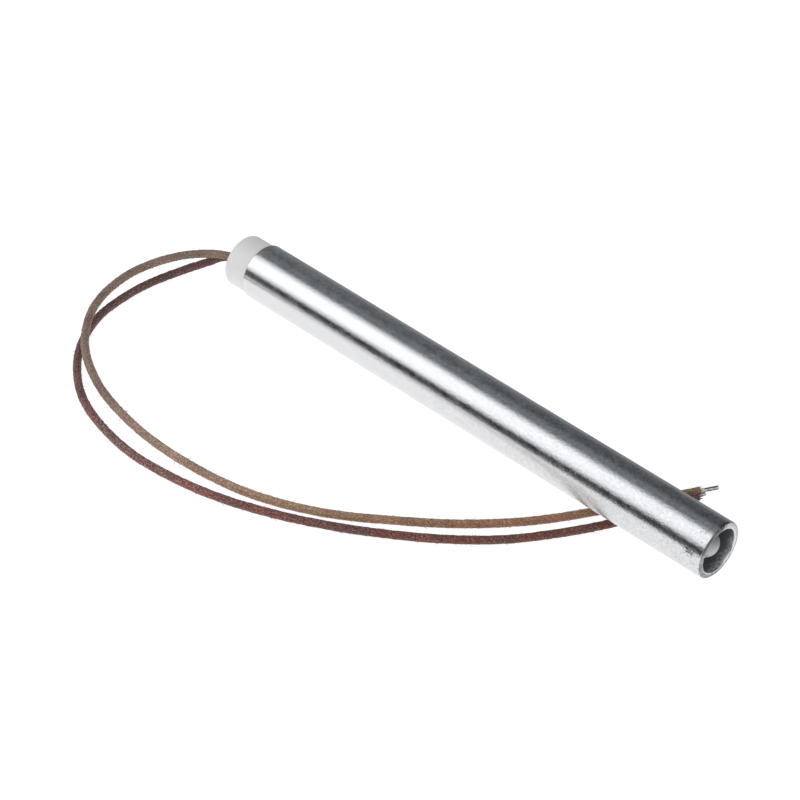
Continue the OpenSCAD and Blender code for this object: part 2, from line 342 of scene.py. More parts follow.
def ground_steel(colours):
    """Centreless-ground stainless tube: its marks smear reflections along it and feather the bright bands."""
    made, tree, out = new_material("ground_stainless_steel")
    place = add(tree, "ShaderNodeTexCoord").outputs["Object"]
    along = add(tree, "ShaderNodeSeparateXYZ", {0: place}).outputs["X"]
    # Handling wear, from none on the first third to full at the mouth
    wear = add(
        tree, "ShaderNodeMapRange", {"Value": along, "From Min": 0.35 * SHEATH_LEN, "From Max": SHEATH_LEN}
    ).outputs[0]
    # Grinding grain, about 0.9 mm by 0.7 mm: as coarse as it has to be to show
    grain_place = add(
        tree, "ShaderNodeMapping",
        {"Vector": place, "Scale": (1 / (0.9 * MM), 1 / (0.7 * MM), 1 / (0.7 * MM))},
    ).outputs[0]
    grain = add(
        tree, "ShaderNodeTexNoise", {"Vector": grain_place, "Scale": 1.0, "Detail": 2.0, "Roughness": 0.6}
    ).outputs["Fac"]
    # Matt clouds about 4 mm across
    clouds = add(
        tree, "ShaderNodeTexNoise",
        {"Vector": place, "Scale": 1 / (4 * MM), "Detail": 4.0, "Roughness": 0.6},
    ).outputs["Fac"]
    grain_dark = add(tree, "ShaderNodeMapRange", {"Value": wear, "To Min": 0.95, "To Max": 0.83}).outputs[0]
    grain_tone = add(
        tree, "ShaderNodeMapRange",
        {"Value": grain, "From Min": 0.32, "From Max": 0.68, "To Min": grain_dark, "To Max": 1.06},
    ).outputs[0]
    cloud_tone = add(
        tree, "ShaderNodeMapRange",
        {"Value": clouds, "From Min": 0.3, "From Max": 0.7, "To Min": 0.95, "To Max": 1.03},
    ).outputs[0]
    tone = add(tree, "ShaderNodeMath", {0: grain_tone, 1: cloud_tone}, operation="MULTIPLY").outputs[0]
    steel = add(
        tree, "ShaderNodeMix", {0: 1.0, 6: colours.steel, 7: tone}, data_type="RGBA", blend_type="MULTIPLY"
    ).outputs[2]
    # Pits about 0.4 mm across, in patches that gather towards the mouth
    pits = add(
        tree, "ShaderNodeTexVoronoi", {"Vector": place, "Scale": 1 / (0.9 * MM), "Randomness": 1.0}
    ).outputs["Distance"]
    patches = add(
        tree, "ShaderNodeTexNoise", {"Vector": place, "Scale": 1 / (6 * MM), "Detail": 2.0}
    ).outputs["Fac"]
    worn = add(tree, "ShaderNodeMath", {0: wear, 1: patches}, operation="MULTIPLY").outputs[0]
    pit_size = add(
        tree, "ShaderNodeMapRange",
        {"Value": worn, "From Min": 0.32, "From Max": 0.66, "To Min": 0.0, "To Max": 0.25},
    ).outputs[0]
    pit = add(tree, "ShaderNodeMath", {0: pits, 1: pit_size}, operation="LESS_THAN").outputs[0]
    # A rubbed spot about 8 mm by 5 mm on the front, close to the mouth, with brown specks of 0.3 mm
    spot_away = add(tree, "ShaderNodeVectorMath", {0: place, 1: SCUFF_PLACE}, operation="SUBTRACT").outputs[0]
    spot_away = add(
        tree, "ShaderNodeVectorMath", {0: spot_away, 1: (0.55, 1.0, 1.0)}, operation="MULTIPLY"
    ).outputs[0]
    spot = add(tree, "ShaderNodeVectorMath", {0: spot_away}, operation="LENGTH").outputs["Value"]
    spot_share = add(
        tree, "ShaderNodeMapRange", {"Value": spot, "From Min": 3.2 * MM, "From Max": 0.2 * MM}
    ).outputs[0]
    specks = add(
        tree, "ShaderNodeTexNoise",
        {"Vector": place, "Scale": 1 / (0.45 * MM), "Detail": 2.0, "Roughness": 0.6},
    ).outputs["Fac"]
    speck_level = add(tree, "ShaderNodeMath", {0: spot_share, 1: specks}, operation="MULTIPLY").outputs[0]
    speck = add(
        tree, "ShaderNodeMapRange", {"Value": speck_level, "From Min": 0.38, "From Max": 0.5}
    ).outputs[0]
    pitted = add(
        tree, "ShaderNodeMix", {0: pit, 6: steel, 7: linear("#9A9B9C")}, data_type="RGBA"
    ).outputs[2]
    specked = add(
        tree, "ShaderNodeMix", {0: speck, 6: pitted, 7: linear("#6F6B65")}, data_type="RGBA"
    ).outputs[2]
    rough_wear = add(
        tree, "ShaderNodeMapRange", {"Value": wear, "To Min": 0.22, "To Max": 0.25}
    ).outputs[0]
    sheen = add(
        tree, "ShaderNodeMath", {0: clouds, 1: 0.06, 2: rough_wear}, operation="MULTIPLY_ADD"
    ).outputs[0]
    # Haze of fine scratches: a small share of the surface scatters light, less of it towards the mouth
    blotches = add(tree, "ShaderNodeMath", {0: clouds, 1: 0.8, 2: grain}, operation="MULTIPLY_ADD").outputs[0]
    haze = add(
        tree, "ShaderNodeMapRange",
        {"Value": blotches, "From Min": 0.74, "From Max": 1.1, "To Min": 0.0, "To Max": 0.09},
    ).outputs[0]
    fade = add(
        tree, "ShaderNodeMapRange", {"Value": along, "From Max": SHEATH_LEN, "To Min": -1.3, "To Max": -0.6}
    ).outputs[0]
    bare = add(tree, "ShaderNodeMath", {0: haze, 1: fade, 2: 1.0}, operation="MULTIPLY_ADD").outputs[0]
    grain_depth = add(
        tree, "ShaderNodeMapRange", {"Value": wear, "To Min": 0.85, "To Max": 1.1}
    ).outputs[0]
    bump = add(
        tree, "ShaderNodeBump", {"Height": grain, "Strength": grain_depth, "Distance": 0.035 * MM}
    ).outputs[0]
    # The grinding marks run round the tube, so the blur lies along it
    around = add(tree, "ShaderNodeTangent", direction_type="RADIAL", axis="X").outputs[0]
    shader = add(
        tree, "ShaderNodeBsdfPrincipled",
        {"Base Color": specked, "Metallic": bare, "Roughness": sheen, "Anisotropic": 0.88,
         "Anisotropic Rotation": 0.25, "Tangent": around, "Normal": bump},
    )
    tree.links.new(shader.outputs[0], out.inputs["Surface"])
    return made


def scaled_ring():
    """The steel ring at the recess's floor: grey with scale and scuffed, with blurred reflections."""
    made, tree, out = new_material("scaled_steel_ring")
    colour = linear("#77797B")
    place = add(tree, "ShaderNodeTexCoord").outputs["Object"]
    # Scuffs about 0.6 mm across
    scuffs = add(
        tree, "ShaderNodeTexNoise",
        {"Vector": place, "Scale": 1 / (0.6 * MM), "Detail": 4.0, "Roughness": 0.65},
    ).outputs["Fac"]
    share = add(
        tree, "ShaderNodeMapRange", {"Value": scuffs, "From Min": 0.32, "From Max": 0.68}
    ).outputs[0]
    tone = add(
        tree, "ShaderNodeMix", {0: share, 6: darker(colour, 0.55), 7: colour}, data_type="RGBA"
    ).outputs[2]
    sheen = add(tree, "ShaderNodeMapRange", {"Value": share, "To Min": 0.6, "To Max": 0.42}).outputs[0]
    bump = add(
        tree, "ShaderNodeBump", {"Height": scuffs, "Strength": 0.6, "Distance": 0.05 * MM}
    ).outputs[0]
    shader = add(
        tree, "ShaderNodeBsdfPrincipled",
        {"Base Color": tone, "Metallic": 0.5, "Roughness": sheen, "Normal": bump},
    )
    tree.links.new(shader.outputs[0], out.inputs["Surface"])
    return made


def sawn_rim():
    """The tube's sawn, deburred end: scuffed, with painted light on its upper back and inner edge and painted
    shade on its top.
    """
    made, tree, out = new_material("deburred_steel_rim")
    place = add(tree, "ShaderNodeTexCoord").outputs["Object"]
    # Scuffs about 0.7 mm across
    scuffs = add(
        tree, "ShaderNodeTexNoise",
        {"Vector": place, "Scale": 1 / (0.7 * MM), "Detail": 3.0, "Roughness": 0.7},
    ).outputs["Fac"]
    # Painted light lightens the upper back, and painted shade darkens the top, turned a little to the front
    upper_back = add(
        tree, "ShaderNodeVectorMath", {0: place, 1: (0.0, 0.7, 0.7)}, operation="DOT_PRODUCT"
    ).outputs["Value"]
    painted_back_light = add(
        tree, "ShaderNodeMapRange",
        {"Value": upper_back, "From Min": -0.6 * SHEATH_R, "From Max": 0.9 * SHEATH_R,
         "To Min": -0.16, "To Max": 0.34},
    ).outputs[0]
    top = add(
        tree, "ShaderNodeVectorMath", {0: place, 1: (0.0, -0.39, 0.92)}, operation="DOT_PRODUCT"
    ).outputs["Value"]
    painted_top_shade = add(
        tree, "ShaderNodeMapRange",
        {"Value": top, "From Min": 0.62 * SHEATH_R, "From Max": 0.8 * SHEATH_R, "To Max": -0.5},
    ).outputs[0]
    radius = add(
        tree, "ShaderNodeVectorMath", {0: place, 1: (0.0, 1.0, 1.0)}, operation="MULTIPLY"
    ).outputs[0]
    radius = add(tree, "ShaderNodeVectorMath", {0: radius}, operation="LENGTH").outputs["Value"]
    # Painted highlight along the inner edge, broken up by the scuffs
    edge = add(
        tree, "ShaderNodeMapRange",
        {"Value": radius, "From Min": BORE_R + 0.45 * MM, "From Max": BORE_R + 0.25 * MM, "To Max": 0.9},
    ).outputs[0]
    edge = add(tree, "ShaderNodeMath", {0: edge, 1: scuffs}, operation="MULTIPLY").outputs[0]
    share = scuffs
    for part in (painted_back_light, painted_top_shade, edge):
        share = add(tree, "ShaderNodeMath", {0: share, 1: part}, operation="ADD").outputs[0]
    share = add(tree, "ShaderNodeMapRange", {"Value": share, "From Min": 0.2, "From Max": 0.85}).outputs[0]
    tone = add(
        tree, "ShaderNodeMix", {0: share, 6: linear("#5E6063"), 7: linear("#F0F1F2")}, data_type="RGBA"
    ).outputs[2]
    bump = add(
        tree, "ShaderNodeBump", {"Height": scuffs, "Strength": 0.8, "Distance": 0.08 * MM}
    ).outputs[0]
    shader = add(
        tree, "ShaderNodeBsdfPrincipled",
        {"Base Color": tone, "Metallic": 0.4, "Roughness": 0.42, "Normal": bump},
    )
    tree.links.new(shader.outputs[0], out.inputs["Surface"])
    return made


def recess_wall():
    """The bore's wall in the open end: scraped, with painted shade deep inside and on its upper front, and
    painted light low down at the mouth.
    """
    made, tree, out = new_material("drawn_steel_bore")
    place = add(tree, "ShaderNodeTexCoord").outputs["Object"]
    along = add(tree, "ShaderNodeSeparateXYZ", {0: place}).outputs["X"]
    # Scrapes about 0.8 mm across
    scrapes = add(
        tree, "ShaderNodeTexNoise",
        {"Vector": place, "Scale": 1 / (0.8 * MM), "Detail": 3.0, "Roughness": 0.65},
    ).outputs["Fac"]
    # Painted shade that deepens into the recess, and painted light towards the mouth
    painted_depth_shade = add(
        tree, "ShaderNodeMapRange",
        {"Value": along, "From Min": DISC_BOX[1].x, "From Max": SHEATH_LEN, "To Min": -0.7, "To Max": 0.5},
    ).outputs[0]
    # Painted shade on the upper front
    lower_back = add(
        tree, "ShaderNodeVectorMath", {0: place, 1: (0.0, 0.64, -0.77)}, operation="DOT_PRODUCT"
    ).outputs["Value"]
    painted_upper_shade = add(
        tree, "ShaderNodeMapRange",
        {"Value": lower_back, "From Min": -2 * MM, "From Max": 5 * MM, "To Min": -0.4, "To Max": 0.0},
    ).outputs[0]
    share = scrapes
    for part in (painted_depth_shade, painted_upper_shade):
        share = add(tree, "ShaderNodeMath", {0: share, 1: part}, operation="ADD").outputs[0]
    share = add(tree, "ShaderNodeMapRange", {"Value": share, "From Min": 0.62, "From Max": 1.15}).outputs[0]
    tone = add(
        tree, "ShaderNodeMix", {0: share, 6: linear("#727476"), 7: linear("#F0F1F2")}, data_type="RGBA"
    ).outputs[2]
    shader = add(
        tree, "ShaderNodeBsdfPrincipled", {"Base Color": tone, "Metallic": 0.4, "Roughness": 0.45}
    )
    tree.links.new(shader.outputs[0], out.inputs["Surface"])
    return made


def fired_ceramic(name, colour, rough, grit, upper_shade=0.0):
    """Unglazed fired ceramic: matt and pale, clouded, with a gritty skin. Its last argument sets how much
    painted shade darkens its upper back.
    """
    made, tree, out = new_material(name)
    place = add(tree, "ShaderNodeTexCoord").outputs["Object"]
    # Clouds about 3 mm across, from the firing
    clouds = add(
        tree, "ShaderNodeTexNoise", {"Vector": place, "Scale": 1 / (3 * MM), "Detail": 3.0}
    ).outputs["Fac"]
    skin = add(
        tree, "ShaderNodeTexNoise",
        {"Vector": place, "Scale": 1 / grit, "Detail": 4.0, "Roughness": 0.7},
    ).outputs["Fac"]
    tone = add(
        tree, "ShaderNodeMix", {0: clouds, 6: darker(colour, 0.9), 7: colour}, data_type="RGBA"
    ).outputs[2]
    if upper_shade:
        upper_back = add(
            tree, "ShaderNodeVectorMath", {0: place, 1: (0.0, 0.7, 0.7)}, operation="DOT_PRODUCT"
        ).outputs["Value"]
        # Painted shade, from none 2 mm below the middle to full 3.5 mm above it
        painted_shade_share = add(
            tree, "ShaderNodeMapRange",
            {"Value": upper_back, "From Min": -2 * MM, "From Max": 3.5 * MM, "To Min": 0.0, "To Max": upper_shade},
        ).outputs[0]
        tone = add(
            tree, "ShaderNodeMix", {0: painted_shade_share, 6: tone, 7: linear("#3A3937")}, data_type="RGBA"
        ).outputs[2]
    bump = add(
        tree, "ShaderNodeBump", {"Height": skin, "Strength": 0.25, "Distance": 0.03 * MM}
    ).outputs[0]
    shader = add(
        tree, "ShaderNodeBsdfPrincipled",
        {"Base Color": tone, "Roughness": rough, "IOR": 1.6, "Normal": bump},
    )
    tree.links.new(shader.outputs[0], out.inputs["Surface"])
    return made


def varnish_and_light_tint(hex_colour):
    """A tint of the varnish and of painted light, which may lighten the yarn as well as darken it."""
    return [c * VARNISH_AND_LIGHT_GAIN for c in linear(hex_colour)]


def braided_fibre(name, yarn_colour, odd_colour, fleck_colour, crease_shade_colour, aged=""):
    """Varnished glass-fibre braid: matt yarns of uneven colour, pale flecks, painted shade in the gaps where
    they cross.
    """
    made, tree, out = new_material(name)
    uv = add(tree, "ShaderNodeUVMap", uv_map="UVMap").outputs[0]
    place = add(tree, "ShaderNodeTexCoord").outputs["Object"]
    weave = add(tree, "ShaderNodeAttribute", attribute_name="weave").outputs["Fac"]
    yarn = add(tree, "ShaderNodeAttribute", attribute_name="yarn").outputs["Fac"]
    # Uneven varnish: dark and light stretches about 7 mm long, and changes of hue about 8 mm long
    stretches = add(
        tree, "ShaderNodeTexNoise", {"Vector": place, "Scale": 1 / (7 * MM), "Detail": 3.0, "Roughness": 0.6}
    ).outputs["Fac"]
    hues = add(
        tree, "ShaderNodeTexNoise", {"Vector": place, "Scale": 1 / (8 * MM), "Detail": 2.0}
    ).outputs["Fac"]
    # Filaments, drawn 0.5 mm wide so that they show; the braid's UV runs in mm along and once round the lead
    filament_place = add(tree, "ShaderNodeMapping", {"Vector": uv, "Scale": (1 / 0.55, 15.0, 1.0)}).outputs[0]
    filaments = add(
        tree, "ShaderNodeTexNoise",
        {"Vector": filament_place, "Scale": 1.0, "Detail": 3.0, "Roughness": 0.7},
    ).outputs["Fac"]
    yarn_hue = add(tree, "ShaderNodeMath", {0: yarn, 1: 0.3, 2: hues}, operation="MULTIPLY_ADD").outputs[0]
    oddness = add(
        tree, "ShaderNodeMapRange", {"Value": yarn_hue, "From Min": 0.55, "From Max": 0.82}
    ).outputs[0]
    tone = add(
        tree, "ShaderNodeMix", {0: oddness, 6: yarn_colour, 7: odd_colour}, data_type="RGBA"
    ).outputs[2]
    fleck = add(
        tree, "ShaderNodeMapRange", {"Value": filaments, "From Min": 0.55, "From Max": 0.7}
    ).outputs[0]
    flecked = add(tree, "ShaderNodeMix", {0: fleck, 6: tone, 7: fleck_colour}, data_type="RGBA").outputs[2]
    # Painted shade in the gaps between the yarns; filaments partly fill the gaps, so no even pattern shows
    fill = add(tree, "ShaderNodeMath", {0: filaments, 1: 4.4, 2: weave}, operation="MULTIPLY_ADD").outputs[0]
    rise = add(
        tree, "ShaderNodeMapRange", {"Value": fill, "From Min": 2.0, "From Max": 3.3}
    ).outputs[0]
    shaded = add(tree, "ShaderNodeMix", {0: rise, 6: crease_shade_colour, 7: flecked}, data_type="RGBA").outputs[2]
    worn = add(
        tree, "ShaderNodeMapRange",
        {"Value": stretches, "From Min": 0.34, "From Max": 0.66, "To Min": 0.82, "To Max": 1.14},
    ).outputs[0]
    coloured = add(
        tree, "ShaderNodeMix", {0: 1.0, 6: shaded, 7: worn}, data_type="RGBA", blend_type="MULTIPLY"
    ).outputs[2]
    # Along the lead: the varnish's colour with painted light that makes the bend paler, then each yarn's
    # ageing past it
    if aged:
        along = add(tree, "ShaderNodeSeparateXYZ", {0: uv}).outputs["X"]
        share = add(tree, "ShaderNodeMath", {0: along, 1: VARNISH_AND_LIGHT_LEN / MM}, operation="DIVIDE").outputs[0]
        ramp = add(tree, "ShaderNodeValToRGB", {0: share})
        set_stops(ramp, [(at, varnish_and_light_tint(colour)) for at, colour in VARNISH_AND_LIGHT])
        age = add(
            tree, "ShaderNodeMapRange", {"Value": share, "From Min": AGED_FROM, "From Max": AGED_TO}
        ).outputs[0]
        tint = add(
            tree, "ShaderNodeMix", {0: age, 6: ramp.outputs[0], 7: varnish_and_light_tint(aged)}, data_type="RGBA",
            blend_type="MULTIPLY",
        ).outputs[2]
        coloured = add(
            tree, "ShaderNodeMix", {0: 1.0, 6: coloured, 7: tint}, data_type="RGBA", blend_type="MULTIPLY"
        ).outputs[2]
    bump = add(
        tree, "ShaderNodeBump", {"Height": filaments, "Strength": 0.8, "Distance": 0.08 * MM}
    ).outputs[0]
    shader = add(
        tree, "ShaderNodeBsdfPrincipled",
        {"Base Color": coloured, "Roughness": 0.75, "IOR": 1.5, "Sheen Weight": 0.15, "Sheen Roughness": 0.5,
         "Normal": bump},
    )
    tree.links.new(shader.outputs[0], out.inputs["Surface"])
    return made


def plain_metal(name, colour, rough):
    """Drawn or plated metal: a nearly even colour, with fine marks from the drawing in its tone and gloss."""
    made, tree, out = new_material(name)
    place = add(tree, "ShaderNodeTexCoord").outputs["Object"]
    # Drawing marks about 0.2 mm across
    marks = add(
        tree, "ShaderNodeTexNoise", {"Vector": place, "Scale": 1 / (0.2 * MM), "Detail": 3.0}
    ).outputs["Fac"]
    tone = add(
        tree, "ShaderNodeMix", {0: marks, 6: darker(colour, 0.7), 7: colour}, data_type="RGBA"
    ).outputs[2]
    sheen = add(
        tree, "ShaderNodeMapRange", {"Value": marks, "To Min": rough - 0.1, "To Max": rough + 0.1}
    ).outputs[0]
    shader = add(
        tree, "ShaderNodeBsdfPrincipled", {"Base Color": tone, "Metallic": 1.0, "Roughness": sheen}
    )
    tree.links.new(shader.outputs[0], out.inputs["Surface"])
    return made


# Sizes and colours

LENGTH = {"precision": 5, "unit": "LENGTH", "subtype": "DISTANCE"}
COLOUR = {"size": 4, "subtype": "COLOR", "min": 0, "max": 1}


class HeaterSizes(bpy.types.PropertyGroup):
    """Sizes of the heater's finish."""

    mouth_round: bpy.props.FloatProperty(
        name="Mouth rounding", description="Rounding of the mouth's outer edge",
        default=0.8 * MM, min=0.1 * MM, **LENGTH,
    )
    bore_round: bpy.props.FloatProperty(
        name="Bore rounding", description="Rounding of the mouth's inner edge",
        default=0.35 * MM, min=0.05 * MM, **LENGTH,
    )
    cap_round: bpy.props.FloatProperty(
        name="Cap rounding", description="Rounding of the cap's outer edge",
        default=1 * MM, min=0.2 * MM, **LENGTH,
    )
    lead_d: bpy.props.FloatProperty(
        name="Lead diameter", description="Diameter of a covered lead",
        default=2.3 * MM, min=1 * MM, **LENGTH,
    )
    conductor_d: bpy.props.FloatProperty(
        name="Conductor diameter", description="Diameter of a lead's stranded wire",
        default=1.1 * MM, min=0.4 * MM, **LENGTH,
    )
    tan_bared_len: bpy.props.FloatProperty(
        name="Tan bared length", description="Bared length at the free end of the tan lead",
        default=5 * MM, min=0.5 * MM, **LENGTH,
    )
    maroon_bared_len: bpy.props.FloatProperty(
        name="Maroon bared length", description="Bared length at the free end of the maroon lead",
        default=2 * MM, min=0.5 * MM, **LENGTH,
    )
    sleeve_d: bpy.props.FloatProperty(
        name="Sleeve diameter", description="Diameter of the white sleeve inside the tan covering",
        default=1.5 * MM, min=1 * MM, **LENGTH,
    )
    sleeve_len: bpy.props.FloatProperty(
        name="Sleeve length", description="Length of the white sleeve that shows at the tan lead's end",
        default=1.1 * MM, min=0.2 * MM, **LENGTH,
    )
    braid_depth: bpy.props.FloatProperty(
        name="Braid depth", description="Depth of the gaps between the yarns of the braid",
        default=0.12 * MM, min=0, **LENGTH,
    )
    yarns: bpy.props.IntProperty(
        name="Yarns", description="Yarns of the braid that run each way round a lead", default=8, min=4,
    )
    frayed_fibres: bpy.props.IntProperty(
        name="Frayed fibres", description="Loose fibres at the cut end of each lead", default=34, min=0,
    )
    stray_fibres: bpy.props.IntProperty(
        name="Stray fibres", description="Short fibres that stand out along each lead", default=150, min=0,
    )
    seed: bpy.props.IntProperty(
        name="Seed", description="Start of the random draws for yarns and loose fibres", default=7,
    )


class HeaterColours(bpy.types.PropertyGroup):
    """Colours of the heater's finish."""

    steel: bpy.props.FloatVectorProperty(
        name="Steel", description="Colour of the ground sheath",
        default=linear("#E0E1E3"), **COLOUR,
    )
    cap: bpy.props.FloatVectorProperty(
        name="Cap", description="Colour of the ceramic lead cap",
        default=linear("#EDECEC"), **COLOUR,
    )
    nose: bpy.props.FloatVectorProperty(
        name="Nose", description="Colour of the ceramic nose",
        default=linear("#D2D2D4"), **COLOUR,
    )
    tan: bpy.props.FloatVectorProperty(
        name="Tan yarn", description="Main colour of the tan lead",
        default=linear("#AD8E76"), **COLOUR,
    )
    maroon: bpy.props.FloatVectorProperty(
        name="Maroon yarn", description="Main colour of the maroon lead",
        default=linear("#965E57"), **COLOUR,
    )
    wire: bpy.props.FloatVectorProperty(
        name="Wire", description="Colour of the plated strands",
        default=linear("#CFCDCA"), **COLOUR,
    )


# Pieces

class HEATER_OT_stage(bpy.types.Operator):
    """Makes the floor, the light and the camera"""

    bl_idname = "heater.stage"
    bl_label = "Stage"

    def execute(self, context):
        scene = context.scene
        scene.view_settings.view_transform = "Standard"
        self.make_camera(scene)
        self.make_floor()
        self.make_tent()
        self.make_cards()
        self.make_light(scene)
        return {"FINISHED"}

    def make_camera(self, scene):
        """The camera stands where the photograph was taken from."""
        data = bpy.data.cameras.new("camera")
        data.lens, data.sensor_width = 128.6, 36.0
        data.clip_start, data.clip_end = 0.01, 100.0
        made = bpy.data.objects.new("camera", data)
        scene.collection.objects.link(made)
        right = Vector((0.7279, 0.6857, 0.0))
        back = Vector((0.5134, -0.5450, 0.6629)).normalized()
        right = (right - right.dot(back) * back).normalized()
        turn = Matrix((right, back.cross(right), back)).transposed().to_4x4()
        made.matrix_world = Matrix.Translation(Vector((447.81, -420.43, 495.48)) * MM) @ turn
        scene.camera = made

    def make_floor(self):
        """A white table top, tilted to carry the leads."""
        made, tree, out = new_material("white_table_top")
        table = add(tree, "ShaderNodeBsdfDiffuse", {"Color": (0.9, 0.9, 0.9, 1)})
        glow = add(tree, "ShaderNodeEmission", {"Color": (1, 1, 1, 1), "Strength": 0.45})
        lit = add(tree, "ShaderNodeAddShader", {0: table.outputs[0], 1: glow.outputs[0]})
        faint = add(tree, "ShaderNodeBsdfDiffuse", {"Color": (0.25, 0.25, 0.25, 1)})
        white = add(tree, "ShaderNodeEmission", {"Color": (1, 1, 1, 1), "Strength": 0.91})
        shown = add(tree, "ShaderNodeAddShader", {0: faint.outputs[0], 1: white.outputs[0]})
        both = add(
            tree, "ShaderNodeMixShader", {0: seen_share(tree), 1: lit.outputs[0], 2: shown.outputs[0]}
        )
        tree.links.new(both.outputs[0], out.inputs["Surface"])
        bm = bmesh.new()
        bmesh.ops.create_grid(bm, x_segments=1, y_segments=1, size=TABLE_SIZE)
        bmesh.ops.rotate(bm, verts=bm.verts, matrix=Matrix.Rotation(math.atan(TABLE_SLOPE), 3, "Y"))
        bmesh.ops.translate(bm, verts=bm.verts, vec=(0, 0, -SHEATH_R))
        finish_mesh(bm, "table_top", [made])

    def make_tent(self):
        """An arched screen that only reflections see: dark behind, a bright panel above and in front."""
        made, tree, out = new_material("light_tent")
        place = add(tree, "ShaderNodeTexCoord").outputs["Object"]
        parts = add(tree, "ShaderNodeSeparateXYZ", {0: place})
        turn = add(
            tree, "ShaderNodeMath", {0: parts.outputs["Z"], 1: parts.outputs["Y"]}, operation="ARCTAN2"
        )
        share = add(tree, "ShaderNodeMath", {0: turn.outputs[0], 1: math.pi}, operation="DIVIDE")
        # Degrees up from the back, then the levels beyond the cap's end and beyond the mouth's end
        stops = [
            (0, 0.2, 0.02), (45, 0.12, 0.0), (70, 0.03, 0.22), (80, 0.12, 0.14), (90, 0.74, 0.3),
            (104, 1.0, 0.86), (138, 1.1, 0.7), (152, 0.7, 0.3), (160, 0.0, 0.0), (172, 0.0, 0.0),
            (180, 0.07, 0.07),
        ]
        cool, white = Vector((0.92, 1.0, 1.06)), Vector((1.0, 1.0, 1.0))
        ramps = [add(tree, "ShaderNodeValToRGB", {0: share.outputs[0]}) for _ in range(2)]
        for end, ramp in enumerate(ramps, 1):
            set_stops(
                ramp,
                [(stop[0] / 180, (*(stop[end] * cool.lerp(white, min(stop[end], 1))), 1)) for stop in stops],
            )
        # Where along the tent the levels start and stop to change
        cap_x, mouth_x = -1.56, 0.03
        reach = add(
            tree, "ShaderNodeMapRange", {"Value": parts.outputs["X"], "From Min": cap_x, "From Max": mouth_x}
        )
        level = add(
            tree, "ShaderNodeMix",
            {0: reach.outputs[0], 6: ramps[0].outputs[0], 7: ramps[1].outputs[0]}, data_type="RGBA",
        )
        glow = add(tree, "ShaderNodeEmission", {"Color": level.outputs[2], "Strength": 1.5})
        tree.links.new(glow.outputs[0], out.inputs["Surface"])
        bm = bmesh.new()
        ends = [bm.verts.new((x, TENT_R, 0)) for x in (-TENT_END, TENT_END)]
        edge = bm.edges.new(ends)
        bmesh.ops.spin(
            bm, geom=[*ends, edge], cent=(0, 0, 0), axis=(1, 0, 0), angle=math.pi, steps=72
        )
        self.only_reflected(finish_mesh(bm, "light_tent", [made]))

    def make_cards(self):
        """Cards on the table that only reflections see: they draw the tube's far edge and front line."""
        fade, lift = 0.06, 0.3 * MM
        for name, near, far, near_level, far_level in (
            ("back_card", 0.016, TENT_R, 0.33, 0.25),
            ("front_card", -0.16, -TENT_R, 0.75, 0.0),
        ):
            made, tree, out = new_material(name)
            place = add(tree, "ShaderNodeTexCoord").outputs["Object"]
            reach = add(tree, "ShaderNodeSeparateXYZ", {0: place}).outputs["Y"]
            level = add(
                tree, "ShaderNodeMapRange",
                {"Value": reach, "From Min": near, "From Max": near + math.copysign(fade, far),
                 "To Min": near_level, "To Max": far_level},
            ).outputs[0]
            glow = add(tree, "ShaderNodeEmission", {"Color": (0.94, 1, 1.06, 1), "Strength": level})
            tree.links.new(glow.outputs[0], out.inputs["Surface"])
            bm = bmesh.new()
            bmesh.ops.create_grid(bm, x_segments=1, y_segments=1, size=0.5)
            bmesh.ops.scale(bm, verts=bm.verts, vec=(2 * TENT_END, abs(far - near), 1))
            bmesh.ops.rotate(bm, verts=bm.verts, matrix=Matrix.Rotation(math.atan(TABLE_SLOPE), 3, "Y"))
            bmesh.ops.translate(bm, verts=bm.verts, vec=(0, (near + far) / 2, lift - SHEATH_R))
            self.only_reflected(finish_mesh(bm, name, [made]))

    def only_reflected(self, screen):
        """Marks a screen as stage that lights nothing and shows only in reflections."""
        screen.visible_camera = screen.visible_diffuse = screen.visible_shadow = False
        screen.visible_transmission = screen.visible_volume_scatter = False

    def make_light(self, scene):
        """Even light from all round, and a large soft lamp in front."""
        world = bpy.data.worlds.new("studio")
        world.use_nodes = True
        tree = world.node_tree
        tree.nodes.clear()
        level = add(
            tree, "ShaderNodeMapRange", {"Value": seen_share(tree), "To Min": 0.6, "To Max": 1.0}
        )
        light = add(
            tree, "ShaderNodeBackground", {"Color": (1, 1, 1, 1), "Strength": level.outputs[0]}
        )
        out = add(tree, "ShaderNodeOutputWorld")
        tree.links.new(light.outputs[0], out.inputs["Surface"])
        scene.world = world
        data = bpy.data.lights.new("front_lamp", "AREA")
        data.shape, data.size, data.energy = "SQUARE", 1.0, 4.5
        lamp = bpy.data.objects.new("front_lamp", data)
        lamp.location = (-0.3, -1.2, 0.9)
        aim = Vector((0.07, 0, 0))
        lamp.rotation_mode = "QUATERNION"
        lamp.rotation_quaternion = (aim - lamp.location).to_track_quat("-Z", "Y")
        lamp.visible_glossy = False
        scene.collection.objects.link(lamp)


